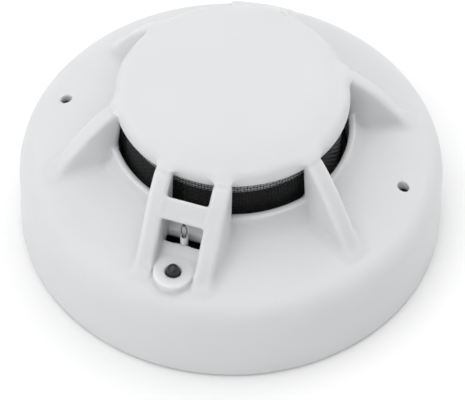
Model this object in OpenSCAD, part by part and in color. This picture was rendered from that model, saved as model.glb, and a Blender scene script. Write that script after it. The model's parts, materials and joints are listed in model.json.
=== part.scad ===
// Ceiling smoke and heat detector: a twist-off head on a round mounting base.
// The origin is the centre of the back face, and +Z points away from the ceiling to the cap.

/* [Cover] */
// Largest diameter of the cover, at its back edge
body_d = 100; // [98:0.5:104]
// Height from the back face to the top of the cap
body_h = 45; // [44.5:0.5:47]
// Wall thickness of the cover
wall = 2; // [1.8:0.1:2.2]
// Radius of the rounded shoulder
shoulder_r = 6.5; // [6:0.1:7]
// Radius of the inside edge of the collar round the smoke inlet
collar_r = 27; // [26.9:0.1:27.4]
// Height of the collar's top edge
collar_z = 30.3; // [29.8:0.1:30.5]
// Radius of the cap's rim
cap_r = 26.8; // [26.8:0.1:27]
// Height of the cap's lower edge
cap_z = 39.2; // [39:0.1:39.5]

/* [Ribs] */
// Number of rib places round the cap, the window pair counted as one
rib_count = 6; // [6]
// Thickness of a rib
rib_w = 4; // [3.6:0.1:4.2]
// Direction of the first rib
rib_turn = 12; // [10:0.5:13]
// Clear width between the two ribs beside the sensor window
window_w = 9.7; // [9.4:0.1:10]

/* [Screen] */
// Radius of the insect screen
screen_r = 25.5; // [25.3:0.1:25.6]
// Thickness of the insect screen
screen_t = 0.3; // [0.2:0.05:0.4]

/* [Base] */
// Clearance between the base's rim and the inside of the cover
base_gap = 1.2; // [1:0.1:1.5]
// Thickness of the base plate
base_t = 2; // [1.8:0.1:2.2]
// Radius of the cable opening
cable_r = 9; // [8:0.5:10]
// Distance between the two fixing slots
slot_pitch = 60; // [59:0.5:61]
// Width of a fixing slot
slot_w = 4.2; // [3.8:0.1:4.5]
// Length of a fixing slot, end to end
slot_len = 9; // [8:0.5:9.5]

/* [Hidden] */
$fn = 48;
body_r = body_d / 2;

// Cover outline: a drafted skirt, a round shoulder, a shallow cone and a hollow sweep up to the collar
skirt_z = 0.4;
draft = 0.4;
shoulder_c = [body_r - draft - shoulder_r, 15.7];
slope = 13.5;
sweep_r = 4.3;
sweep_c = [collar_r + 5.8, collar_z - 0.6];
collar_lip = 1.5;
inner_collar_z = 22.4;
collar_foot = [0.5, 1.4];
collar_foot_z = 21;

// Cap outline: a rim, a rounding, a flat dome, and a groove under it that holds the screen
rim_round = 3;
dome_r = 24.4;
dome_foot = cap_z + 3.75;
rim_z = cap_z + 0.8;
groove_r = [24.9, 25.9];
groove_z = cap_z + 1.6;
guide_r = 23.8;
guide_z = cap_z - 3.3;

// Rib outline, from the cap's rim down to the shoulder
rib_in = [26.1, 26.8];
rib_out = 42.3;
rib_top = [[cap_r + 0.2, cap_z + 2], [28.4, 40.6], [31, 38.1], [34.5, 33.9], [38, 29], [41.3, 23.7]];
window_dir = rib_turn + 240;
pair_off = (window_w + rib_w) / 2;
rib_dirs = [for (i = [0 : rib_count - 1]) if (i != 4) rib_turn + i * 360 / rib_count];

// Screw wells and the raised pad on the shoulder
well_r = body_r - 8.6;
well_dirs = [rib_turn + 149.3, rib_turn + 331];
well_hole = 1.45;
boss_r = 3.1;
boss_z = 13;
screw_seat = 19;
pad_dir = rib_turn + 69.5;
pad_arc = 18.2;
pad_shift = [0.4, 2.2, 0.3];
pad_turn = -2.6;

// Sensor window, thermistor and indicator
window_s = [31.1, 34.1];
window_z = [18, 30];
thermistor_s = 33.2;
sleeve_top = 28.5;
bead_z = 31.6;
led_s = body_r - 9.3;
led_boss_r = 4.6;
led_boss_z = 24.2;

// Heights of the inner parts
ledge_z = [5.6, 7.5];
lug_z = [3.2, 5.2];
drum_r = [38, 40];
lug_r = 43.3;
floor_z = [8.3, 10.3];
board_z = [15, 16.6];
board_r = body_r - 7.5;
chamber_r = 27.3;
tray_wall = 1.5;
tray_top = 22.2;
chamber_top = 41;
rim_r = body_r - wall - base_gap;
rim_wall = 2;
lug_arc = 20;
lug_dirs = [30, 150, 270];
terminal_dirs = [50, 130, 230, 310];
terminal_z = [3.2, 4];
clip_t = terminal_z[1] - terminal_z[0];
clip_w = 7.2;
fold_t = 0.4;
post_w = 8;
terminal_r = [24.5, 36.8];
terminal_len = terminal_r[1] - terminal_r[0];
screw_s = 28.6;
blade_s = 35.2;
vane_count = 18;
vane_s = 20.4;
vane_turn = 38;
vane_size = [4.4, 1];
lid_z = 39.6;
lid_r = 23.2;
optic_z = 27;
optic_r = 2.5;
optic_s = 11.2;
optic_dirs = [20, 150];
block_size = [8, 7.2];
post_dirs = [350, 110, 215];
post_s = 33;
screen_z = [board_z[1] + 2, 40.5];

// Points on an arc in the outline plane
function arc(c, r, a0, a1, n = 8) =
    [for (i = [0 : n]) let (a = a0 + (a1 - a0) * i / n) [c[0] + r * cos(a), c[1] + r * sin(a)]];

// Height of the cone's outer face at a radius
function cone_z(r) = shoulder_c[1] + shoulder_r / cos(slope) - (r - shoulder_c[0]) * tan(slope);

// Height of the domed cap at a radius
function dome_z(r) = body_h - (body_h - dome_foot) * pow(r / dome_r, 4);

// Places a child at a radius in a direction
module at(dir, s, z = 0) rotate([0, 0, dir]) translate([s, 0, z]) children();

// Upright plate whose outline is drawn in radius and height, centred on a direction
module plate(points, width, off = 0)
    translate([0, off + width / 2, 0]) rotate([90, 0, 0]) linear_extrude(width) polygon(points);

// Round ring between two radii and two heights
module ring(r0, r1, z0, z1) rotate_extrude($fn = 96) translate([r0, z0]) square([r1 - r0, z1 - z0]);

// Part of a round ring, centred on a direction
module ring_sector(r0, r1, z0, z1, dir, span)
    rotate([0, 0, dir - span / 2]) rotate_extrude(angle = span, $fn = 96)
        translate([r0, z0]) square([r1 - r0, z1 - z0]);

module cover_shell()
    rotate_extrude($fn = 96) polygon(concat(
        [[body_r, skirt_z]],
        arc(shoulder_c, shoulder_r, 0, 90 - slope, 10),
        arc(sweep_c, sweep_r, 270 - slope, 180, 8),
        arc([collar_r + collar_lip - 0.5, collar_z - 0.5], 0.5, 0, 90, 3),
        arc([collar_r + 0.2, collar_z - 0.2], 0.2, 90, 180, 2),
        [[collar_r, inner_collar_z], [collar_r + collar_foot[0], inner_collar_z]],
        [[collar_r + collar_foot[0], collar_foot_z], [collar_r + collar_foot[1], collar_foot_z]],
        [[collar_r + collar_foot[1], cone_z(collar_r + collar_foot[1]) - wall]],
        arc(shoulder_c, shoulder_r - wall, 90 - slope, 0, 8),
        [[body_r - wall, skirt_z]]));

module cap_shell()
    rotate_extrude($fn = 96) polygon(concat(
        [[0, body_h]],
        [for (r = [4 : 4 : 24]) [r, dome_z(r)]],
        arc([cap_r - rim_round, rim_z], rim_round, 72, 0, 6),
        arc([cap_r - 0.3, cap_z + 0.3], 0.3, 0, -90, 2),
        [[groove_r[1], cap_z], [groove_r[1], groove_z], [groove_r[0], groove_z]],
        [[groove_r[0], guide_z], [guide_r, guide_z], [guide_r, cap_z + 2]],
        [[guide_r - 1.8, cap_z + 2.5], [0, body_h - wall - 0.2]]));

module rib(off = 0)
    plate(concat(
        rib_top,
        [[rib_out, cone_z(rib_out) - 0.2], [rib_out - 0.6, cone_z(rib_out - 0.6) - 1]],
        [[29, cone_z(29) - 1], [rib_in[1], 24.5], [rib_in[1], collar_z], [rib_in[0], cap_z + 0.6]],
        [[cap_r - 0.6, cap_z + 2]]),
        rib_w, off);

// Low pad that is thicker at one end: a part of the shoulder's own shape, moved outwards and sideways
module shoulder_pad()
    rotate([0, 0, pad_dir]) translate(pad_shift) rotate([0, 0, pad_turn - pad_arc / 2])
        rotate_extrude(angle = pad_arc, $fn = 96) polygon(concat(
            arc(shoulder_c, shoulder_r, 30, 78, 5),
            arc(shoulder_c, shoulder_r - 1.4, 78, 30, 5)));

// Bar that bridges the pair of ribs over the sensor window, level with their sloping tops
module window_bar()
    plate([[31.2, 37.4], [33.5, 34.85], [34, 34.25], [34.25, 33.8], [34.2, 33.35], [33.8, 32.9],
        [33.3, 32.8], [30.45, 36], [30.6, 36.8]], window_w + 1);

// Plate and indicator boss between the pair of ribs
module window_unit() {
    window_bar();
    plate([[window_s[1], 25.9], [36.6, led_boss_z + 0.1], [led_s, led_boss_z - 0.4],
        [led_s, 21.8], [window_s[1], 22.4]], window_w + 1);
    translate([led_s, 0, 20.5]) cylinder(r = led_boss_r, h = led_boss_z - 20.5);
}

module outer_cover()
    color("whitesmoke") difference() {
        union() {
            cover_shell();
            cap_shell();
            shoulder_pad();
            for (dir = rib_dirs) rotate([0, 0, dir]) rib();
            rotate([0, 0, window_dir]) {
                rib(-pair_off);
                rib(pair_off);
                window_unit();
            }
            for (dir = well_dirs) at(dir, well_r, boss_z) cylinder(r = boss_r, h = 8.4);
        }
        for (dir = well_dirs) {
            at(dir, well_r, screw_seat) cylinder(r = well_hole, h = 20);
            at(dir, well_r, boss_z - 1) cylinder(r = 0.9, h = 20);
        }
        rotate([0, 0, window_dir]) {
            translate([window_s[0], -window_w / 2, window_z[0]])
                cube([window_s[1] - window_s[0], window_w, window_z[1] - window_z[0]]);
            translate([led_s, 0, 18]) cylinder(r = 2, h = 12);
        }
    }

module insect_screen()
    color("dimgray") ring(screen_r - screen_t, screen_r, screen_z[0], screen_z[1]);

// Ring of slanted vanes under a lid, which lets smoke in and keeps light out
module chamber_cover()
    color([0.1, 0.1, 0.1]) union() {
        ring(lid_r - 5.7, lid_r, board_z[1] + 2, board_z[1] + 3.4);
        translate([0, 0, lid_z]) cylinder(r = lid_r, h = chamber_top - lid_z, $fn = 96);
        for (i = [0 : vane_count - 1])
            at(i * 360 / vane_count, vane_s, board_z[1] + 3) rotate([0, 0, vane_turn])
                translate([-vane_size[0] / 2, -vane_size[1] / 2, 0])
                    cube([vane_size[0], vane_size[1], lid_z + 0.5 - board_z[1] - 3]);
    }

// Black tray with the two sleeves that hold the optical parts
module chamber_base()
    color([0.13, 0.13, 0.14]) difference() {
        union() {
            translate([0, 0, board_z[1]]) cylinder(r = chamber_r, h = 2, $fn = 96);
            ring(chamber_r - tray_wall, chamber_r, board_z[1] + 1, tray_top);
            for (dir = optic_dirs) at(dir, optic_s + 0.3, board_z[1] + 1.5)
                translate([-block_size[0] / 2, -block_size[1] / 2, 0])
                    cube([block_size[0], block_size[1], optic_z + 3.4 - board_z[1] - 1.5]);
        }
        for (dir = optic_dirs) {
            at(dir, optic_s - 2.2, optic_z) rotate([0, 90, 0]) cylinder(r = optic_r + 0.05, h = 9);
            at(dir, optic_s - 6.2, optic_z) rotate([0, 90, 0]) cylinder(r = 1.5, h = 9);
        }
    }

// Five millimetre optical part lying on its side, its lens towards the centre
module optic_part(dir)
    at(dir, optic_s, optic_z) rotate([0, 90, 0]) union() {
        cylinder(r = optic_r, h = 4.1);
        intersection() {
            sphere(r = optic_r);
            translate([0, 0, -1.2]) cylinder(r = optic_r + 0.5, h = 1.4);
        }
    }

module ir_emitter() color([0.35, 0.4, 0.6]) optic_part(optic_dirs[0]);

module photodiode() color([0.12, 0.1, 0.12]) optic_part(optic_dirs[1]);

// Folded tin cover over the photodiode's sleeve
module photodiode_shield()
    color("silver") at(optic_dirs[1], 11.7, board_z[1] + 2) difference() {
        translate([-3.6, -4.3, 0]) cube([8.2, 8.6, 12.6]);
        translate([-4, -3.8, -1]) cube([8.2, 7.6, 13.1]);
    }

module circuit_board()
    color([0.06, 0.08, 0.07]) difference() {
        translate([0, 0, board_z[0]]) cylinder(r = board_r, h = board_z[1] - board_z[0], $fn = 96);
        for (dir = well_dirs) at(dir, well_r, 10) cylinder(r = boss_r + 0.6, h = 10);
        for (dir = post_dirs) at(dir, post_s, 10) cylinder(r = 1.3, h = 10);
        for (dir = terminal_dirs) at(dir, blade_s, 10) cylinder(r = 0.6, h = 10);
        for (y = [-1.27, 1.27]) at(window_dir, led_s, 10) translate([0, y, 0]) cylinder(r = 0.45, h = 10);
        for (y = [-0.3, 0.3]) at(window_dir, thermistor_s, 10) translate([0, y, 0])
            cylinder(r = 0.25, h = 10);
    }

module microcontroller()
    color([0.12, 0.12, 0.12]) at(70, 33, board_z[1]) translate([-3.5, -3.5, 0]) cube([7, 7, 1.4]);

module driver_chip()
    color([0.12, 0.12, 0.12]) at(180, 31.5, board_z[1]) translate([-2, -4, 0]) cube([4, 8, 1.6]);

module capacitors()
    color("slategray") for (dir = [32, 282])
        at(dir, 31.5, board_z[1]) cylinder(r = 2.5, h = 5);

module resistors()
    color([0.2, 0.2, 0.2]) for (dir = [88 : 5 : 98], s = [29, 33, 37])
        at(dir, s, board_z[1]) translate([-1, -0.6, 0]) cube([2, 1.2, 0.6]);

module surge_diode()
    color([0.16, 0.16, 0.16]) at(200, 33, board_z[1]) translate([-2.2, -3.4, 0]) cube([4.4, 6.8, 2.4]);

module reed_switch()
    color("lightcyan") at(316, 33, board_z[1] + 1.6) rotate([90, 0, 0])
        translate([0, 0, -5.5]) cylinder(r = 1.1, h = 11);

module reed_leads()
    color("silver") for (side = [-1, 1]) at(316, 33, board_z[1]) {
        translate([-0.3, side * 6.5 - 1, 1.3]) cube([0.6, 2, 0.6]);
        translate([-0.3, side * 7.2 - 0.3, 0]) cube([0.6, 0.6, 1.4]);
    }

module indicator_led()
    color([0.25, 0.26, 0.26]) at(window_dir, led_s) union() {
        translate([0, 0, 22.4]) cylinder(r = 1.9, h = 1.2);
        translate([0, 0, 22.4]) cylinder(r = 1.45, h = 2.2);
        translate([0, 0, 24.6]) intersection() {
            sphere(r = 1.45);
            translate([0, 0, -0.4]) cylinder(r = 2, h = 2);
        }
    }

module led_leads()
    color("silver") for (y = [-1.27, 1.27])
        at(window_dir, led_s) translate([-0.25, y - 0.25, 14.2]) cube([0.5, 0.5, 22.4 - 14.2]);

module thermistor_bead()
    color([0.16, 0.15, 0.14]) at(window_dir, thermistor_s) union() {
        translate([0, 0, bead_z]) sphere(r = 0.85);
        translate([0, 0, bead_z - 1.3]) cylinder(r1 = 0.5, r2 = 0.8, h = 1.1);
    }

module thermistor_leads()
    color([0.2, 0.19, 0.18]) at(window_dir, thermistor_s)
        for (y = [-0.3, 0.3]) translate([0, y, 14.6]) cylinder(r = 0.19, h = bead_z - 1.3 - 14.6, $fn = 16);

module thermistor_sleeve()
    color("gainsboro") at(window_dir, thermistor_s, board_z[1]) difference() {
        cylinder(r = 0.9, h = sleeve_top - board_z[1]);
        translate([0, 0, -1]) cylinder(r = 0.6, h = 20);
    }

// Lower half of the head: a floor, a drum with three lugs, screw bosses and board posts
module back_housing()
    color("white") difference() {
        union() {
            translate([0, 0, floor_z[0]]) cylinder(r = rim_r + 0.3, h = 2, $fn = 96);
            ring(drum_r[0], drum_r[1], 3, floor_z[0] + 0.5);
            for (dir = lug_dirs)
                ring_sector(drum_r[1] - 0.5, lug_r, lug_z[0], lug_z[1], dir, lug_arc);
            for (dir = well_dirs) at(dir, well_r, floor_z[0] + 0.5) cylinder(r = 3, h = boss_z - 8.8);
            for (dir = post_dirs) at(dir, post_s, floor_z[0] + 0.5) cylinder(r = 2.5, h = board_z[0] - 8.8);
        }
        for (dir = well_dirs) at(dir, well_r, floor_z[0] + 0.6) cylinder(r = 0.85, h = 10);
        for (dir = post_dirs) at(dir, post_s, floor_z[0] + 1.2) cylinder(r = 0.95, h = 10);
        for (dir = terminal_dirs) {
            at(dir, blade_s, 5) cylinder(r = 0.6, h = 10);
            for (y = [-5.2, -2.8]) at(dir, blade_s, 5) translate([0, y, 0]) cylinder(r = 0.75, h = 10);
        }
    }

module cover_screws()
    color("silver") for (dir = well_dirs) at(dir, well_r) difference() {
        union() {
            translate([0, 0, 9.4]) cylinder(r = 0.8, h = screw_seat - 9.4);
            translate([0, 0, screw_seat]) cylinder(r = 1.35, h = 1.4);
        }
        translate([-1.5, -0.2, screw_seat + 0.8]) cube([3, 0.4, 2]);
    }

module board_screws()
    color("silver") for (dir = post_dirs) at(dir, post_s) difference() {
        union() {
            translate([0, 0, 10]) cylinder(r = 0.9, h = board_z[1] - 10);
            translate([0, 0, board_z[1]]) cylinder(r = 2, h = 1.3);
        }
        for (a = [0, 90]) rotate([0, 0, a]) translate([-1.2, -0.25, board_z[1] + 0.6]) cube([2.4, 0.5, 2]);
    }

module link_pins()
    color("goldenrod") for (dir = terminal_dirs)
        at(dir, blade_s, floor_z[0]) cylinder(r = 0.5, h = board_z[1] + 0.8 - floor_z[0]);

// Two rivets hold each blade under the floor of the housing
module contact_rivets()
    color("silver") for (dir = terminal_dirs, y = [-5.2, -2.8]) at(dir, blade_s) translate([0, y, 0]) {
        translate([0, 0, 7.2]) cylinder(r = 1, h = 0.6);
        translate([0, 0, 7.8]) cylinder(r = 0.7, h = 2.5);
        translate([0, 0, floor_z[1]]) cylinder(r = 1, h = 0.5);
    }

// Spring strip that hangs from the housing and wipes over a terminal clip
module contact_blade(dir)
    color("peru") at(dir, blade_s) difference() {
        translate([-2, 0, 0]) rotate([90, 0, 90]) linear_extrude(4) polygon([
            [-6.5, 7.8], [0.9, 7.8], [3.1, 6.2], [3, 5.6], [0.2, 4.6], [-3.2, 5.8], [-3.4, 5.3],
            [0.2, 4.1], [3.6, 5.3], [3.7, 6.5], [1.1, 8.3], [-6.5, 8.3]]);
        for (y = [-5.2, -2.8]) translate([0, y, 7]) cylinder(r = 0.75, h = 3);
    }

module contact_blade_1() contact_blade(terminal_dirs[0]);
module contact_blade_2() contact_blade(terminal_dirs[1]);
module contact_blade_3() contact_blade(terminal_dirs[2]);
module contact_blade_4() contact_blade(terminal_dirs[3]);

// Round base: a plate, a rim with three ledges and stops, a cable collar and four terminal posts
module mounting_base()
    color("white") difference() {
        union() {
            cylinder(r = rim_r, h = base_t, $fn = 96);
            ring(rim_r - rim_wall, rim_r, base_t - 0.5, ledge_z[1]);
            for (dir = lug_dirs) {
                ring_sector(41, rim_r - 1, ledge_z[0], ledge_z[1], dir, 26);
                ring_sector(41, rim_r - 1, base_t - 0.5, ledge_z[1], dir - 12.2, 2.4);
            }
            cylinder(r = cable_r + 1.6, h = base_t + 2);
            for (dir = terminal_dirs) at(dir, terminal_r[0], base_t - 0.5)
                translate([0, -post_w / 2, 0]) cube([terminal_len, post_w, terminal_z[0] - base_t + 0.5]);
        }
        translate([0, 0, -1]) cylinder(r = cable_r, h = 20);
        for (side = [-1, 1]) translate([side * slot_pitch / 2, 0, -1]) {
            for (end = [-1, 1]) translate([end * (slot_len - slot_w) / 2, 0, 0])
                cylinder(r = slot_w / 2, h = 20);
            translate([-(slot_len - slot_w) / 2, -slot_w / 2, 0]) cube([slot_len - slot_w, slot_w, 20]);
        }
        for (dir = terminal_dirs) at(dir, screw_s, 0.8) cylinder(r = 1.3, h = 10);
    }

// Brass strip on a post, with a screw hole and a folded end under the blade
module terminal_clip(dir)
    color("darkkhaki") at(dir, 0) difference() {
        union() {
            translate([terminal_r[0], -clip_w / 2, terminal_z[0]])
                cube([terminal_len + fold_t, clip_w, clip_t]);
            translate([terminal_r[1], -clip_w / 2, terminal_z[1] - 2]) cube([fold_t, clip_w, 2]);
        }
        translate([screw_s, 0, 0]) cylinder(r = 1.55, h = 10);
    }

module terminal_clip_1() terminal_clip(terminal_dirs[0]);
module terminal_clip_2() terminal_clip(terminal_dirs[1]);
module terminal_clip_3() terminal_clip(terminal_dirs[2]);
module terminal_clip_4() terminal_clip(terminal_dirs[3]);

module terminal_washers()
    color("silver") for (dir = terminal_dirs) at(dir, screw_s, terminal_z[1]) difference() {
        translate([-3.2, -3.2, 0]) cube([6.4, 6.4, 0.8]);
        translate([0, 0, -1]) cylinder(r = 1.55, h = 4);
    }

module terminal_screws()
    color("silver") for (dir = terminal_dirs) at(dir, screw_s) difference() {
        union() {
            translate([0, 0, 1.2]) cylinder(r = 1.25, h = 4);
            translate([0, 0, 4.8]) cylinder(r = 2.7, h = 1.7);
        }
        translate([-3, -0.35, 5.6]) cube([6, 0.7, 2]);
    }

outer_cover();
insect_screen();
chamber_cover();
chamber_base();
ir_emitter();
photodiode();
photodiode_shield();
circuit_board();
microcontroller();
driver_chip();
capacitors();
resistors();
surge_diode();
reed_switch();
reed_leads();
indicator_led();
led_leads();
thermistor_bead();
thermistor_leads();
thermistor_sleeve();
back_housing();
cover_screws();
board_screws();
link_pins();
contact_rivets();
contact_blade_1();
contact_blade_2();
contact_blade_3();
contact_blade_4();
mounting_base();
terminal_clip_1();
terminal_clip_2();
terminal_clip_3();
terminal_clip_4();
terminal_washers();
terminal_screws();
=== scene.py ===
"""Ceiling smoke and heat detector: the looks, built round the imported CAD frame.

Lengths in the shape code are millimetres, in the CAD frame: the origin is the centre of the back
face and +Z points to the cap. They become metres when a mesh is made.
"""
import math

import bmesh
import bpy
import numpy as np
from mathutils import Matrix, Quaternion, Vector
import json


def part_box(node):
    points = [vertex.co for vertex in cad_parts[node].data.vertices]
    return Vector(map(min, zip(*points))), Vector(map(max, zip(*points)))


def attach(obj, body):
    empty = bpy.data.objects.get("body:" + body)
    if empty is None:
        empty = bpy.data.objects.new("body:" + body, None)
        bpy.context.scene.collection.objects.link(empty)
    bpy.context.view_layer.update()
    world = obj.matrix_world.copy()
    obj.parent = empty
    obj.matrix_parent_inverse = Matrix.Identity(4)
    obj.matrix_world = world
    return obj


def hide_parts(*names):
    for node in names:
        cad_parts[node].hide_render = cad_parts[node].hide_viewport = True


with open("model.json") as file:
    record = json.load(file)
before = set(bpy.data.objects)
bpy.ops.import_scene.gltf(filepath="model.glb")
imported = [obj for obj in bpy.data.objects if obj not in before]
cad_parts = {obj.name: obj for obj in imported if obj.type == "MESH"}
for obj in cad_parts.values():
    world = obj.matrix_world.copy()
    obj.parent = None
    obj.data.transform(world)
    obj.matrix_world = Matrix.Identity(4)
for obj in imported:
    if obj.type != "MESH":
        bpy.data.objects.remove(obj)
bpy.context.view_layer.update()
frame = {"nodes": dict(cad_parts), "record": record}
NODES = frame["nodes"]
MM = 0.001


def span(node):
    """Lowest and highest corner of a CAD node, in millimetres."""
    low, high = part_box(node)
    return low / MM, high / MM


# ---------------------------------------------------------------- driving dimensions

# The cover's body: a drafted skirt, a round shoulder and a shallow cone
COVER_LOW, COVER_HIGH = span("outer_cover")
BODY_R = (COVER_HIGH.x - COVER_LOW.x) / 2
BODY_H = COVER_HIGH.z
SKIRT_Z = COVER_LOW.z
WALL = 2.0
DRAFT = 0.4
SHOULDER_R = 6.5
SHOULDER = (BODY_R - DRAFT - SHOULDER_R, 15.7)
SLOPE = math.radians(13.5)

# The collar round the smoke inlet, and the hollow sweep that leads up to it
COLLAR_R = 27.0
COLLAR_Z = 30.3
COLLAR_LIP = 1.5
COLLAR_FOOT = [(0, 22.4), (0.5, 22.4), (0.5, 21), (1.4, 21)]
SWEEP_R = 4.3
SWEEP = (COLLAR_R + 5.8, COLLAR_Z - 0.6)

# The cap, the groove that holds the screen, and the guide ring inside it: inner radius and lowest height
CAP_R = 26.8
CAP_Z = 39.2
DOME_R = 24.4
GROOVE = (24.9, 25.9)
GUIDE = (23.8, CAP_Z - 4.1)

# The ribs. Their sides lean out by RIB_DRAFT per millimetre of depth, and less close to the cap
RIB_TURN = 12.0
RIB_W = 4.0
RIB_STEP = 60.0
RIB_DRAFT = 0.09
RIB_DRAFT_AT_CAP = 0.35
RIB_ROUND = 1.0
WINDOW_INDEX = 4
WINDOW_DIR = RIB_TURN + RIB_STEP * WINDOW_INDEX
WINDOW_W = 9.7
PAIR_OFF = (WINDOW_W + RIB_W) / 2
RIB_TOP = [(CAP_R + 0.2, CAP_Z + 2), (28.4, 40.6), (31, 38.1), (34.5, 33.9), (38, 29), (41.3, 23.7)]
RIB_IN, RIB_OUT = (25.6, 26.8), 42.3

# The sensor window, the indicator's boss (radius and top height), and its lens, with the height of the
# centre of its dome
WINDOW_S = (30.8, 34.1)
LED_S = BODY_R - 9.3
LED_BOSS = (4.5, 24.2)
LED_HOLE = 1.88
LENS_R = 1.45
LENS_DOME_Z = 24.6

# The screw wells, their bosses (radius, foot height and top height), and the seat under the screw's head
WELL_R = BODY_R - 8.6
WELL_DIRS = (RIB_TURN + 149.3, RIB_TURN + 331)
WELL_HOLE = 1.4
WELL_BOSS = (3.1, 13.0, 21.4)
WELL_SEAT = 19.0
SHANK_HOLE = 0.9

# The raised pad, in degrees round the shoulder, how far it is moved out, sideways and up, the part of
# the shoulder's arc that it covers, its depth, and the radius at which its ends are measured
PAD_DIR = RIB_TURN + 69.5
PAD_ARC = 18.2
PAD_SHIFT = (0.4, 2.2, 0.3)
PAD_TURN = -2.6
PAD_RISE = (30, 78)
PAD_DEPTH = 1.4
PAD_R = 48

THERMISTOR_S = 33.2

# ---------------------------------------------------------------- distance fields


def cone_z(r):
    """Height of the cover's cone at a radius."""
    return SHOULDER[1] + SHOULDER_R / math.cos(SLOPE) - (r - SHOULDER[0]) * math.tan(SLOPE)


def arc(centre, radius, a0, a1, n=14):
    """Points on an arc in the radius and height plane, angles in degrees."""
    angles = np.radians(np.linspace(a0, a1, n + 1))
    return [(centre[0] + radius * math.cos(a), centre[1] + radius * math.sin(a)) for a in angles]


def shell_outline():
    """Closed outline of the skirt, shoulder, cone and collar."""
    slope = math.degrees(SLOPE)
    foot = COLLAR_R + COLLAR_FOOT[-1][0]
    return (
        [(BODY_R, SKIRT_Z)]
        + arc(SHOULDER, SHOULDER_R, 0, 90 - slope, 20)
        + arc(SWEEP, SWEEP_R, 270 - slope, 180, 16)
        + arc((COLLAR_R + COLLAR_LIP - 0.5, COLLAR_Z - 0.5), 0.5, 0, 90, 6)
        + arc((COLLAR_R + 0.2, COLLAR_Z - 0.2), 0.2, 90, 180, 4)
        + [(COLLAR_R + r, z) for r, z in COLLAR_FOOT]
        + [(foot, cone_z(foot) - WALL)]
        + arc(SHOULDER, SHOULDER_R - WALL, 90 - slope, 0, 14)
        + [(BODY_R - WALL, SKIRT_Z)]
    )


def cap_outline():
    """Closed outline of the cap, its rim, and the groove that holds the screen."""
    foot = CAP_Z + 3.75
    dome = [(r, BODY_H - (BODY_H - foot) * (r / DOME_R) ** 4) for r in np.arange(1.5, 24.1, 1.5)]
    return (
        [(-2, BODY_H), (0, BODY_H)]
        + dome
        + arc((CAP_R - 3, CAP_Z + 0.8), 3, 72, 0, 12)
        + arc((CAP_R - 0.3, CAP_Z + 0.3), 0.3, 0, -90, 4)
        + [(GROOVE[1], CAP_Z), (GROOVE[1], CAP_Z + 1.6), (GROOVE[0], CAP_Z + 1.6)]
        + [(GROOVE[0], GUIDE[1]), (GUIDE[0], GUIDE[1]), (GUIDE[0], CAP_Z + 2)]
        + [(GUIDE[0] - 1.8, CAP_Z + 2.5), (0, BODY_H - WALL - 0.2), (-2, BODY_H - WALL - 0.2)]
    )


def rib_outline():
    """Closed outline of a rib, in distance along its direction and height."""
    return RIB_TOP + [
        (RIB_OUT, cone_z(RIB_OUT) - 0.2),
        (RIB_OUT - 0.6, cone_z(RIB_OUT - 0.6) - 1),
        (29, cone_z(29) - 1),
        (RIB_IN[1], 24.5),
        (RIB_IN[1], COLLAR_Z),
        (RIB_IN[0], CAP_Z + 0.6),
        (CAP_R - 0.6, CAP_Z + 2),
    ]


def bar_outline():
    """Closed outline of the bar that bridges the window's two ribs, level with their sloping tops."""
    return [
        (31.2, 37.4), (33.5, 34.85), (34, 34.25), (34.25, 33.8), (34.2, 33.35), (33.8, 32.9),
        (33.3, 32.8), (30.45, 36), (30.6, 36.8),
    ]


def plate_outline():
    """Closed outline of the sloping plate between the sensor window and the indicator."""
    s = WINDOW_S[1]
    return [(s, 25.9), (36.6, LED_BOSS[1] + 0.1), (LED_S, LED_BOSS[1] - 0.4), (LED_S, 21.8), (s, 22.4)]


class Outline:
    """Signed distance to a closed outline, looked up in a fine table."""

    STEP = 0.1
    LOW = (-1.0, -2.0)
    SIZE = (540, 510)

    def __init__(self, points):
        """Fills the table from the outline's corner points."""
        a = self.LOW[0] + self.STEP * np.arange(self.SIZE[0])[:, None] + np.zeros(self.SIZE)
        b = self.LOW[1] + self.STEP * np.arange(self.SIZE[1])[None, :] + np.zeros(self.SIZE)
        best = np.full(self.SIZE, 1e9)
        inside = np.zeros(self.SIZE, bool)
        for (x0, y0), (x1, y1) in zip(points, points[1:] + points[:1]):
            dx, dy = x1 - x0, y1 - y0
            length = dx * dx + dy * dy
            if length < 1e-12:
                continue
            t = np.clip(((a - x0) * dx + (b - y0) * dy) / length, 0, 1)
            best = np.minimum(best, (a - x0 - t * dx) ** 2 + (b - y0 - t * dy) ** 2)
            if dy:
                crosses = (b < y0) != (b < y1)
                inside ^= crosses & (a < x0 + (b - y0) * dx / dy)
        self.table = np.where(inside, -1, 1) * np.sqrt(best)

    def __call__(self, a, b):
        """Distance at places in the outline's plane, blended from the table."""
        i = np.clip((a - self.LOW[0]) / self.STEP, 0, self.SIZE[0] - 1.001)
        j = np.clip((b - self.LOW[1]) / self.STEP, 0, self.SIZE[1] - 1.001)
        i0, j0 = i.astype(np.int32), j.astype(np.int32)
        u, v = i - i0, j - j0
        t = self.table
        low = t[i0, j0] * (1 - u) + t[i0 + 1, j0] * u
        high = t[i0, j0 + 1] * (1 - u) + t[i0 + 1, j0 + 1] * u
        return low * (1 - v) + high * v


def blend_union(a, b, k):
    """Smooth union: k is the width of the fillet between two shapes."""
    h = np.maximum(k - np.abs(a - b), 0) / k
    return np.minimum(a, b) - h * h * k / 4


def blend_cut(a, b, k):
    """Shape a with shape b cut out of it, the new edge rounded by k."""
    return -blend_union(-a, b, k)


def rounded(distances, radius):
    """Intersection of several slabs, its edges rounded by a radius."""
    grown = [d + radius for d in distances]
    outside = np.sqrt(sum(np.maximum(d, 0) ** 2 for d in grown))
    return outside + np.minimum(np.maximum.reduce(grown), 0) - radius


def smoothstep(x):
    """Smooth rise from 0 to 1 while x goes from 0 to 1."""
    t = np.clip(x, 0, 1)
    return t * t * (3 - 2 * t)


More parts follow.
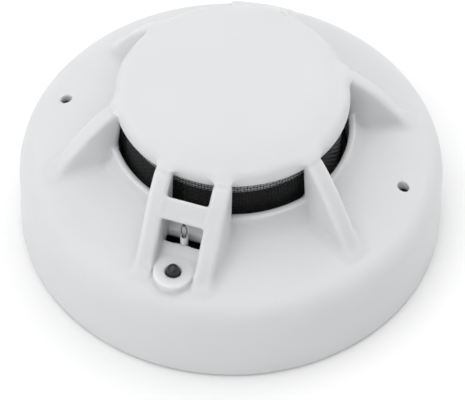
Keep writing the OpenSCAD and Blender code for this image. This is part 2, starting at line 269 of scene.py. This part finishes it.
SHELL = Outline(shell_outline())
CAP = Outline(cap_outline())
RIB = Outline(rib_outline())
BAR = Outline(bar_outline())
PLATE = Outline(plate_outline())
RIB_PLACES = [(RIB_TURN + RIB_STEP * i, 0.0) for i in range(6) if i != WINDOW_INDEX]
RIB_PLACES += [(WINDOW_DIR, -PAIR_OFF), (WINDOW_DIR, PAIR_OFF)]


def turned(x, y, direction):
    """Distance along a direction, and sideways from it."""
    c, s = math.cos(math.radians(direction)), math.sin(math.radians(direction))
    return x * c + y * s, y * c - x * s


def ribs_field(x, y, z):
    """All the ribs. Only the sides that face away from the sensor window have draft."""
    d = np.full(x.shape, 9.0)
    for direction, off in RIB_PLACES:
        s, h = turned(x, y, direction)
        mask = (s > RIB_IN[0] - 4) & (s < RIB_OUT + 4) & (np.abs(h - off) < 6) & (z > 18)
        depth = np.maximum(np.interp(s[mask], *np.transpose(RIB_TOP)) - z[mask], 0)
        outer = (h[mask] - off) * off >= 0
        share = RIB_DRAFT_AT_CAP + (1 - RIB_DRAFT_AT_CAP) * smoothstep((s[mask] - RIB_IN[1]) / 6)
        half = RIB_W / 2 + RIB_DRAFT * depth * outer * share
        rib = rounded([RIB(s[mask], z[mask]), np.abs(h[mask] - off) - half], RIB_ROUND)
        d[mask] = np.minimum(d[mask], rib)
    return d


def window_field(d, x, y, z):
    """Adds the plate and the indicator's boss to the shell, and opens the window and the LED's hole."""
    s, h = turned(x, y, WINDOW_DIR)
    mask = (s > 22) & (np.abs(h) < 14) & (z > 14) & (z < 38)
    s, h, zz, out = s[mask], h[mask], z[mask], d[mask]
    middle, half = (WINDOW_S[0] + WINDOW_S[1]) / 2, (WINDOW_S[1] - WINDOW_S[0]) / 2
    slot = rounded([np.abs(s - middle) - half, np.abs(h) - WINDOW_W / 2, zz - 30], 0.1)
    out = blend_cut(out, slot, 0.3)
    out = blend_union(out, rounded([PLATE(s, zz), np.abs(h) - WINDOW_W / 2 - 0.5], 0.2), 0.5)
    axis = np.hypot(s - LED_S, h)
    boss = rounded([axis - LED_BOSS[0], np.abs(zz - LED_BOSS[1] + 2) - 2], 0.45)
    out = blend_cut(blend_union(out, boss, 0.7), axis - LED_HOLE, 0.15)
    d[mask] = out
    return d


def bar_field(d, x, y, z):
    """Adds the bar over the sensor window."""
    s, h = turned(x, y, WINDOW_DIR)
    mask = (s > 28) & (s < 37) & (np.abs(h) < 8) & (z > 30)
    bar = rounded([BAR(s[mask], z[mask]), np.abs(h[mask]) - WINDOW_W / 2 - 0.6], 0.1)
    d[mask] = blend_union(d[mask], bar, 0.7)
    return d


def pad_field(d, x, y, z):
    """The low pad on the back of the shoulder: part of the shoulder's own shape, moved out and sideways."""
    s, h = turned(x, y, PAD_DIR)
    mask = (s > 38) & (np.abs(h) < 12) & (z > 12)
    out, side, up = PAD_SHIFT
    s, h, v = s[mask] - out, h[mask] - side, z[mask] - SHOULDER[1] - up
    turn = np.arctan2(h, s) - math.radians(PAD_TURN)
    u = np.hypot(s, h) - SHOULDER[0]
    low, high = np.radians(PAD_RISE)
    slabs = [
        np.hypot(u, v) - SHOULDER_R,
        (np.abs(turn) - math.radians(PAD_ARC / 2)) * PAD_R,
        u * math.sin(low) - v * math.cos(low),
        v * math.cos(high) - u * math.sin(high),
        SHOULDER_R - PAD_DEPTH - np.hypot(u, v),
    ]
    d[mask] = blend_union(d[mask], rounded(slabs, 0.15), 0.12)
    return d


def wells_field(d, x, y, z):
    """The two bosses with their deep screw wells."""
    boss_r, foot, top = WELL_BOSS
    for direction in WELL_DIRS:
        s, h = turned(x, y, direction)
        mask = (s > 34) & (np.abs(h) < 6) & (z > 10)
        axis = np.hypot(s[mask] - WELL_R, h[mask])
        zz = z[mask]
        out = np.minimum(d[mask], rounded([axis - boss_r, foot - zz, zz - top], 0.1))
        out = blend_cut(out, rounded([axis - WELL_HOLE, WELL_SEAT - zz], 0.05), 0.15)
        d[mask] = blend_cut(out, axis - SHANK_HOLE, 0.1)
    return d


def cover_field(x, y, z):
    """Signed distance to the moulded cover. Its fillets are small in the window and larger outside it."""
    r = np.hypot(x, y)
    d = window_field(SHELL(r, z), x, y, z)
    d = pad_field(wells_field(d, x, y, z), x, y, z)
    s, h = turned(x, y, WINDOW_DIR)
    open_air = np.maximum(np.abs(h) - WINDOW_W / 2, -s)
    low_down = smoothstep((r - COLLAR_R - 2) / 4) * (open_air > 0)
    fillet = 0.35 + 0.6 * smoothstep(open_air + 0.5) + 1.6 * low_down
    d = bar_field(blend_union(d, ribs_field(x, y, z), fillet), x, y, z)
    soft = 0.4 + 2.8 * smoothstep((z - CAP_Z - 0.8) / 1.6)
    return blend_union(d, CAP(r, z), soft)


# ---------------------------------------------------------------- meshes


def surface_net(field, turns, radii, heights):
    """Mesh of a field's zero surface on a grid that follows the round body, as (points, quads)."""
    shape = (turns, len(radii), len(heights))
    angle = 2 * math.pi * np.arange(turns) / turns
    values = np.empty(shape)
    for i, a in enumerate(angle):
        rr, zz = np.meshgrid(radii, heights, indexing="ij")
        values[i] = field(rr * math.cos(a), rr * math.sin(a), zz)
    inside = values < 0
    count = np.zeros(values.size)
    total = np.zeros((3, values.size))
    quads = []
    level = [None, np.append(radii, radii[-1] + 1), np.append(heights, heights[-1] + 1)]
    for axis in range(3):
        after = np.roll(values, -1, axis)
        crossing = inside != (after < 0)
        if axis == 1:
            crossing[:, -1] = False
        if axis == 2:
            crossing[:, :, -1] = False
        others = [a for a in (0, 1, 2) if a != axis]
        for a in others:
            if a == 1:
                crossing[:, 0] = False
            if a == 2:
                crossing[:, :, 0] = False
        index = np.array(np.nonzero(crossing))
        before = values[crossing]
        part = before / (before - after[crossing])
        place = [index[0].astype(float), level[1][index[1]], level[2][index[2]]]
        if axis == 0:
            place[0] = place[0] + part
        else:
            step = level[axis][index[axis] + 1] - level[axis][index[axis]]
            place[axis] = place[axis] + part * step
        turn = place[0] * 2 * math.pi / turns
        point = (place[1] * np.cos(turn), place[1] * np.sin(turn), place[2])
        corners = []
        for da, db in ((0, 0), (1, 0), (1, 1), (0, 1)):
            cell = index.copy()
            cell[others[0]] -= da
            cell[others[1]] -= db
            cell[0] %= turns
            corners.append(np.ravel_multi_index(tuple(cell), shape))
        for corner in corners:
            count += np.bincount(corner, minlength=count.size)
            for k in range(3):
                total[k] += np.bincount(corner, point[k], count.size)
        quad = np.array(corners).T
        flip = (before < 0) == (axis == 1)
        quad[flip] = quad[flip][:, ::-1]
        quads.append(quad)
    used = np.nonzero(count)[0]
    number = np.full(count.size, -1)
    number[used] = np.arange(used.size)
    points = (total[:, used] / count[used]).T
    return points, number[np.concatenate(quads)]


def settle(field, points, rounds=3, reach=0.12):
    """Moves points onto a field's zero surface, a short way at most."""
    eps = 0.02
    for _ in range(rounds):
        x, y, z = points.T
        d = field(x, y, z)
        slope = np.stack([
            field(x + eps, y, z) - field(x - eps, y, z),
            field(x, y + eps, z) - field(x, y - eps, z),
            field(x, y, z + eps) - field(x, y, z - eps),
        ], 1) / (2 * eps)
        size = np.maximum((slope ** 2).sum(1), 0.25)
        step = np.clip(d / size, -reach, reach)
        points = points - slope * step[:, None]
    return points


def new_object(name, points, faces, body, material):
    """A mesh object from points in millimetres, riding on a CAD body."""
    mesh = bpy.data.meshes.new(name)
    mesh.from_pydata((np.asarray(points, float) * MM).tolist(), [], [list(f) for f in faces])
    mesh.validate()
    mesh.update()
    mesh.shade_smooth()
    mesh.materials.append(material)
    ob = bpy.data.objects.new(name, mesh)
    bpy.context.scene.collection.objects.link(ob)
    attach(ob, body)
    return ob


def steps(*stretches):
    """Grid levels from (start, stop, step) stretches."""
    levels = [np.arange(a, b - 1e-6, s) for a, b, s in stretches]
    return np.append(np.concatenate(levels), stretches[-1][1])


def make_cover(material):
    """The moulded cover, meshed from its field and kept inside the CAD cover's box."""
    radii = steps((0.8, 22, 1.0), (22, 45.6, 0.32), (45.6, 51, 0.4))
    heights = steps((-0.2, 1.2, 0.28), (1.2, 12.6, 1.9), (12.6, 20, 0.42), (20, 47.3, 0.3))
    points, quads = surface_net(cover_field, 600, radii, heights)
    points = settle(cover_field, points)
    limit = BODY_R - 0.001
    points[:, :2] = np.clip(points[:, :2], -limit, limit)
    points[:, 2] = np.clip(points[:, 2], SKIRT_Z, BODY_H)
    cover = new_object("cover_moulding", points, quads, "head", material)
    bm = bmesh.new()
    bm.from_mesh(cover.data)
    rims = [e for e in bm.edges if e.is_boundary]
    bmesh.ops.holes_fill(bm, edges=rims, sides=0)
    caps = [f for f in bm.faces if len(f.verts) > 8]
    bmesh.ops.poke(bm, faces=caps)
    bmesh.ops.recalc_face_normals(bm, faces=bm.faces)
    for face in bm.faces:
        face.smooth = True
    bm.to_mesh(cover.data)
    bm.free()
    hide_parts("outer_cover")
    return cover


def tube(path, radius, sides=6, closed=False):
    """Points and quads of a round wire along a path of points."""
    path = np.asarray(path, float)
    if closed:
        tangent = np.roll(path, -1, 0) - np.roll(path, 1, 0)
    else:
        tangent = np.gradient(path, axis=0)
    tangent /= np.linalg.norm(tangent, axis=1)[:, None]
    guide = np.array([0.31, 0.23, 0.92]) if abs(tangent[0][2]) < 0.7 else np.array([0.92, 0.31, 0.23])
    u = np.cross(tangent, guide)
    u /= np.linalg.norm(u, axis=1)[:, None]
    v = np.cross(tangent, u)
    turn = 2 * math.pi * np.arange(sides) / sides
    ring = np.cos(turn)[None, :, None] * u[:, None] + np.sin(turn)[None, :, None] * v[:, None]
    points = (path[:, None] + radius * ring).reshape(-1, 3)
    n = len(path)
    faces = []
    for i in range(n if closed else n - 1):
        for j in range(sides):
            k = (j + 1) % sides
            m = (i + 1) % n
            faces.append((i * sides + j, i * sides + k, m * sides + k, m * sides + j))
    if not closed:
        faces.append(tuple(range(sides))[::-1])
        faces.append(tuple(range((n - 1) * sides, n * sides)))
    return points, faces


def joined(parts):
    """One list of points and faces from several."""
    points, faces, start = [], [], 0
    for p, f in parts:
        points.append(p)
        faces += [tuple(i + start for i in face) for face in f]
        start += len(p)
    return np.concatenate(points), faces


def lathe(outline, turns=48, centre=(0, 0)):
    """Points and faces of a turned solid. The outline runs from the axis, out and back to the axis."""
    angle = 2 * math.pi * np.arange(turns) / turns
    points, faces, rings = [], [], []
    for r, z in outline:
        start = len(points)
        if r < 1e-6:
            points.append((centre[0], centre[1], z))
            rings.append([start] * turns)
        else:
            points += [(centre[0] + r * math.cos(a), centre[1] + r * math.sin(a), z) for a in angle]
            rings.append(list(range(start, start + turns)))
    for a, b in zip(rings, rings[1:]):
        for i in range(turns):
            j = (i + 1) % turns
            face = []
            for corner in (a[i], b[i], b[j], a[j]):
                if corner not in face:
                    face.append(corner)
            faces.append(tuple(face))
    return np.array(points), faces


def polar(direction, s, h=0.0):
    """Point at a distance along a direction and sideways from it."""
    a = math.radians(direction)
    return s * math.cos(a) - h * math.sin(a), s * math.sin(a) + h * math.cos(a)


# The screen's upright wires, its hoops, and how far both swing in and out
SCREEN_WIRES = 216
SCREEN_R = 25.3
WIRE_R = 0.075
HOOP_R = 0.105
WEAVE = 0.09


def make_screen(material):
    """Woven wire screen: upright wires and hoops that pass over and under each other."""
    low, high = span("insect_screen")
    bottom, top = low.z + WIRE_R, high.z - WIRE_R
    rows = round((top - bottom) * SCREEN_WIRES / (2 * math.pi * SCREEN_R))
    heights = np.linspace(bottom, top, rows + 1)
    turns = 2 * math.pi * np.arange(SCREEN_WIRES) / SCREEN_WIRES
    parts = []
    for i, a in enumerate(turns):
        radii = SCREEN_R + WEAVE * (-1) ** (np.arange(rows + 1) + i)
        path = np.stack([radii * math.cos(a), radii * math.sin(a), heights], 1)
        parts.append(tube(path, WIRE_R, 4))
    for k, z in enumerate(heights):
        radii = SCREEN_R - WEAVE * (-1) ** (np.arange(SCREEN_WIRES) + k)
        path = np.stack([radii * np.cos(turns), radii * np.sin(turns), np.full(SCREEN_WIRES, z)], 1)
        parts.append(tube(path, HOOP_R, 4, closed=True))
    points, faces = joined(parts)
    screen = new_object("woven_screen", points, faces, "head", material)
    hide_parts("insect_screen")
    return screen


def make_indicator(material):
    """Three millimetre LED: flange, barrel and dome."""
    centre = polar(WINDOW_DIR, LED_S)
    flange = [(0, 22.4), (1.6, 22.4), (1.75, 22.55), (1.75, 23.45), (1.65, 23.6), (1.52, 23.62),
              (1.46, 23.7)]
    dome = [(LENS_R * math.cos(a), LENS_DOME_Z + LENS_R * math.sin(a)) for a in np.linspace(0.1, 1.45, 9)]
    outline = flange + [(LENS_R, LENS_DOME_Z - 0.1)] + dome + [(0, LENS_DOME_Z + LENS_R)]
    points, faces = lathe(outline, 48, centre)
    led = new_object("indicator_lens", points, faces, "head", material)
    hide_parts("indicator_led")
    return led


def make_thermistor(bead_material, lead_material, sleeve_material):
    """Bead on a narrow loop of two leads that stands out of its sleeve."""
    x, y = polar(WINDOW_DIR, THERMISTOR_S)
    side = np.array([*polar(WINDOW_DIR + 90, 1.0), 0.0])
    base = np.array([x, y, 0.0])
    tip = span("thermistor_bead")[1].z - 0.35
    outline = [(0, tip - 0.75), (0.2, tip - 0.7), (0.34, tip - 0.45), (0.38, tip - 0.15),
               (0.33, tip + 0.1), (0.18, tip + 0.26), (0, tip + 0.3)]
    points, faces = lathe(outline, 24, (x, y))
    bead = new_object("thermistor_drop", points, faces, "head", bead_material)
    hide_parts("thermistor_bead")
    parts = []
    for sign in (-1, 1):
        route = [(0.3, 14.6), (0.3, 22.0), (0.3, 27.4), (0.42, 28.4), (0.64, 29.3), (0.66, 30.1),
                 (0.48, 30.9), (0.24, tip - 0.7), (0.14, tip - 0.5)]
        path = [base + side * sign * h + np.array([0, 0, z]) for h, z in route]
        parts.append(tube(smooth_path(path), 0.115, 8))
    points, faces = joined(parts)
    leads = new_object("thermistor_wires", points, faces, "head", lead_material)
    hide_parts("thermistor_leads")
    low, high = span("thermistor_sleeve")
    top = high.z - 0.6
    wall = [(0.62, low.z), (0.9, low.z), (0.9, top - 0.15), (0.82, top), (0.66, top), (0.6, top - 0.12)]
    points, faces = lathe(wall + wall[:1], 32, (x, y))
    sleeve = new_object("thermistor_tube", points, faces, "head", sleeve_material)
    bm = bmesh.new()
    bm.from_mesh(sleeve.data)
    bmesh.ops.remove_doubles(bm, verts=bm.verts, dist=1e-6)
    bm.to_mesh(sleeve.data)
    bm.free()
    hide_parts("thermistor_sleeve")


def smooth_path(points, n=4):
    """Catmull-Rom curve through points."""
    p = [points[0]] + list(points) + [points[-1]]
    out = []
    for i in range(1, len(p) - 2):
        for k in range(n):
            t = k / n
            out.append(0.5 * (2 * p[i] + (p[i + 1] - p[i - 1]) * t
                              + (2 * p[i - 1] - 5 * p[i] + 4 * p[i + 1] - p[i + 2]) * t * t
                              + (3 * p[i] - p[i - 1] - 3 * p[i + 1] + p[i + 2]) * t ** 3))
    out.append(p[-2])
    return np.array(out)


# ---------------------------------------------------------------- materials


def material(name, color, roughness, metallic=0.0, spread=0.03, grain=(4000, 0.004), mottle=60,
             rough_spread=0.06, **sockets):
    """Procedural material: slow colour mottling, uneven gloss and a fine surface grain."""
    mat = bpy.data.materials.new(name)
    mat.use_nodes = True
    tree = mat.node_tree
    shader = tree.nodes["Principled BSDF"]
    shader.inputs["Metallic"].default_value = metallic
    for key, value in sockets.items():
        shader.inputs[key.replace("_", " ")].default_value = value
    place = tree.nodes.new("ShaderNodeTexCoord")
    slow = tree.nodes.new("ShaderNodeTexNoise")
    slow.inputs["Scale"].default_value = mottle
    slow.inputs["Detail"].default_value = 3
    tree.links.new(place.outputs["Object"], slow.inputs["Vector"])
    tint = tree.nodes.new("ShaderNodeValToRGB")
    tint.color_ramp.elements[0].position = 0.3
    tint.color_ramp.elements[1].position = 0.7
    tint.color_ramp.elements[0].color = [c * (1 - spread) for c in color] + [1]
    tint.color_ramp.elements[1].color = [min(1, c * (1 + spread)) for c in color] + [1]
    tree.links.new(slow.outputs["Fac"], tint.inputs["Fac"])
    tree.links.new(tint.outputs["Color"], shader.inputs["Base Color"])
    fine = tree.nodes.new("ShaderNodeTexNoise")
    fine.inputs["Scale"].default_value = grain[0]
    fine.inputs["Detail"].default_value = 2
    tree.links.new(place.outputs["Object"], fine.inputs["Vector"])
    gloss = tree.nodes.new("ShaderNodeMapRange")
    gloss.inputs["To Min"].default_value = roughness - rough_spread
    gloss.inputs["To Max"].default_value = roughness + rough_spread
    tree.links.new(fine.outputs["Fac"], gloss.inputs["Value"])
    tree.links.new(gloss.outputs["Result"], shader.inputs["Roughness"])
    bump = tree.nodes.new("ShaderNodeBump")
    bump.inputs["Strength"].default_value = 0.5
    bump.inputs["Distance"].default_value = grain[1] * MM
    tree.links.new(fine.outputs["Fac"], bump.inputs["Height"])
    tree.links.new(bump.outputs["Normal"], shader.inputs["Normal"])
    return mat


MATERIALS = {
    "cover_white": material("moulded_white", (0.675, 0.684, 0.695), 0.42, spread=0.012, grain=(2600, 0.006),
                            Subsurface_Weight=1.0, Subsurface_Radius=(1, 0.95, 0.9), Subsurface_Scale=0.003,
                            Specular_IOR_Level=0.25),
    "screen_black": material("black_wire", (0.011, 0.0125, 0.013), 0.26, grain=(9000, 0.01),
                             Specular_IOR_Level=0.65),
    "chamber_black": material("chamber_black", (0.007, 0.007, 0.0072), 0.7),
    "emitter_lens": material("emitter_resin", (0.12, 0.16, 0.35), 0.15),
    "diode_black": material("diode_resin", (0.02, 0.015, 0.02), 0.2),
    "tin_plate": material("tin_plate", (0.6, 0.6, 0.6), 0.3, 1.0),
    # Painted shade: the board's near-black colour stands in for the shade seen down through the sensor
    # window.
    "board_black": material("board_painted_shade", (0.008, 0.011, 0.0095), 0.45),
    "chip_black": material("chip_epoxy", (0.02, 0.02, 0.021), 0.55),
    "can_aluminium": material("drawn_can", (0.55, 0.56, 0.58), 0.35, 1.0),
    "reed_glass": material("reed_glass", (0.6, 0.8, 0.7), 0.08, Transmission_Weight=0.8),
    "led_smoked": material("smoked_resin", (0.016, 0.017, 0.017), 0.3, spread=0.1),
    "bead_epoxy": material("bead_epoxy", (0.03, 0.028, 0.025), 0.25),
    "lead_enamel": material("lead_enamel", (0.07, 0.065, 0.06), 0.35),
    "sleeve_grey": material("sleeve_grey", (0.72, 0.73, 0.73), 0.3, Transmission_Weight=0.3),
    "housing_white": material("housing_white", (0.76, 0.76, 0.74), 0.45, spread=0.015),
    "screw_steel": material("zinc_plate", (0.5, 0.5, 0.5), 0.35, 1.0),
    "screw_black": material("black_oxide", (0.02, 0.02, 0.02), 0.4, 0.5),
    "pin_brass": material("pin_brass", (0.75, 0.58, 0.25), 0.3, 1.0),
    "blade_bronze": material("rolled_bronze", (0.72, 0.45, 0.24), 0.32, 1.0),
    "base_white": material("base_white", (0.76, 0.76, 0.74), 0.45, spread=0.015),
    "clip_brass": material("clip_brass", (0.72, 0.58, 0.28), 0.32, 1.0),
}


def dress_cad():
    """Gives every CAD node the material of its slot."""
    slots = {row["node"]: row["material_slot"] for row in frame["record"]["subparts"]}
    for name, ob in NODES.items():
        ob.data.materials.clear()
        ob.data.materials.append(MATERIALS[slots[name]])


make_cover(MATERIALS["cover_white"])
make_screen(MATERIALS["screen_black"])
make_indicator(MATERIALS["led_smoked"])
make_thermistor(MATERIALS["bead_epoxy"], MATERIALS["lead_enamel"], MATERIALS["sleeve_grey"])
dress_cad()

# ---------------------------------------------------------------- studio


# The lamps: name, the direction each stands in, and its strength, fitted to the photograph's tones. All of
# them have the same width in degrees, and the world adds an even glow
LAMPS = [
    ("left", (-0.76, -0.45, 0.42), 0.2),
    ("front_left", (-0.55, -0.36, 0.75), 0.27),
    ("right", (0.9, 0.25, 0.45), 0.27),
    ("overhead", (0, 0.05, 1), 0.12),
    ("front", (0, -0.5, 0.85), 0.245),
    ("back", (0, 0.6, 0.8), 0.44),
]
LAMP_WIDTH = 80
WORLD_GLOW = 0.09

# The camera, fitted to the photograph: place and aim in metres, focal length and sensor in millimetres
CAMERA_AT = Vector((0.0, -0.3637, 0.4458))
CAMERA_AIM = Vector((0.0004, -0.00855, 0.01263))
CAMERA_ROLL = math.radians(0.919)
FOCAL_LENGTH = 185.6
SENSOR_WIDTH = 36


def make_floor():
    """Plain pale floor, large enough for every view."""
    bm = bmesh.new()
    bmesh.ops.create_grid(bm, x_segments=8, y_segments=8, size=3)
    mesh = bpy.data.meshes.new("floor")
    bm.to_mesh(mesh)
    bm.free()
    floor = bpy.data.objects.new("floor", mesh)
    floor.location.z = -0.0002
    bpy.context.scene.collection.objects.link(floor)
    mat = material("floor_white", (0.92, 0.92, 0.92), 0.8, spread=0.002, mottle=4, grain=(300, 0.01))
    mat.node_tree.nodes["Principled BSDF"].inputs["Specular IOR Level"].default_value = 0.1
    mesh.materials.append(mat)


def soft_light(name, toward, strength, spread):
    """A very large, distant lamp: the direction it stands in, its strength, and its width in degrees."""
    light = bpy.data.lights.new(name, "SUN")
    light.angle = math.radians(spread)
    light.energy = strength * math.pi
    ob = bpy.data.objects.new(name, light)
    ob.location = Vector(toward).normalized()
    ob.rotation_euler = Vector(toward).to_track_quat("Z", "Y").to_euler()
    bpy.context.scene.collection.objects.link(ob)


def make_studio():
    """Plain soft light from all round, strongest from the back."""
    world = bpy.data.worlds.new("studio")
    world.use_nodes = True
    world.node_tree.nodes["Background"].inputs["Color"].default_value = (1, 1, 1, 1)
    world.node_tree.nodes["Background"].inputs["Strength"].default_value = WORLD_GLOW
    bpy.context.scene.world = world
    for name, toward, strength in LAMPS:
        soft_light(name, toward, strength, LAMP_WIDTH)
    bpy.context.scene.view_settings.view_transform = "Standard"


def make_camera():
    """The photograph's view, with a long lens."""
    data = bpy.data.cameras.new("camera")
    data.sensor_width = SENSOR_WIDTH
    data.lens = FOCAL_LENGTH
    camera = bpy.data.objects.new("camera", data)
    camera.location = CAMERA_AT
    look = (CAMERA_AIM - CAMERA_AT).to_track_quat("-Z", "Y")
    camera.rotation_mode = "QUATERNION"
    camera.rotation_quaternion = look @ Quaternion((0, 0, 1), CAMERA_ROLL)
    bpy.context.scene.collection.objects.link(camera)
    bpy.context.scene.camera = camera


make_floor()
make_studio()
make_camera()
